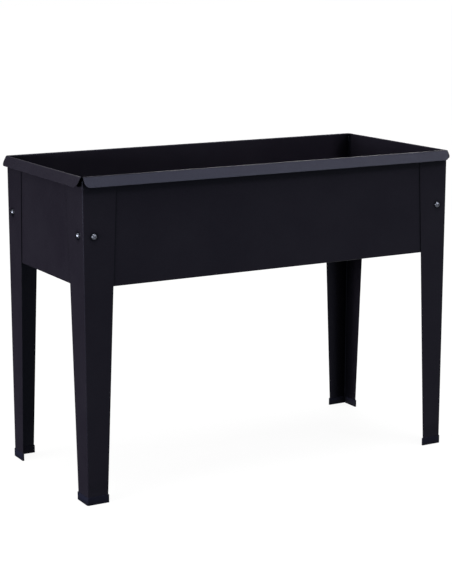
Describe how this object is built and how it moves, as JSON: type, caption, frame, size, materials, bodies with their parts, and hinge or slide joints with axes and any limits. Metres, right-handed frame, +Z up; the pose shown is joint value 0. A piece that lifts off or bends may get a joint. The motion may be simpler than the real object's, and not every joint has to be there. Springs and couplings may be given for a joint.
{
  "type": "raised garden bed",
  "caption": "Black sheet-metal planter box on tall tapered angle legs, with an outward-folded rim, bolted corners, foot caps and a drained floor.",
  "frame": {"origin": "on the floor under the middle of the bed", "axes": "+Z up, +X along the long sides, the front faces -Y"},
  "size_m": [1.0296, 0.4696, 0.762],
  "materials": {
    "panel_coat": "satin",
    "leg_coat": "satin",
    "tray_coat": "satin",
    "cap_plastic": "matte",
    "zinc_plate": "satin"
  },
  "bodies": {
    "root": {"back_bolts": "zinc_plate", "back_left_foot_cap": "cap_plastic", "back_left_leg": "leg_coat", "back_nuts": "zinc_plate", "back_panel": "panel_coat", "back_right_foot_cap": "cap_plastic", "back_right_leg": "leg_coat", "base_tray": "tray_coat", "front_bolts": "zinc_plate", "front_left_foot_cap": "cap_plastic", "front_left_leg": "leg_coat", "front_nuts": "zinc_plate", "front_panel": "panel_coat", "front_right_foot_cap": "cap_plastic", "front_right_leg": "leg_coat", "left_base_brace": "tray_coat", "left_end_bolts": "zinc_plate", "left_end_nuts": "zinc_plate", "left_end_panel": "panel_coat", "right_base_brace": "tray_coat", "right_end_bolts": "zinc_plate", "right_end_nuts": "zinc_plate", "right_end_panel": "panel_coat"}
  },
  "joints": []
}
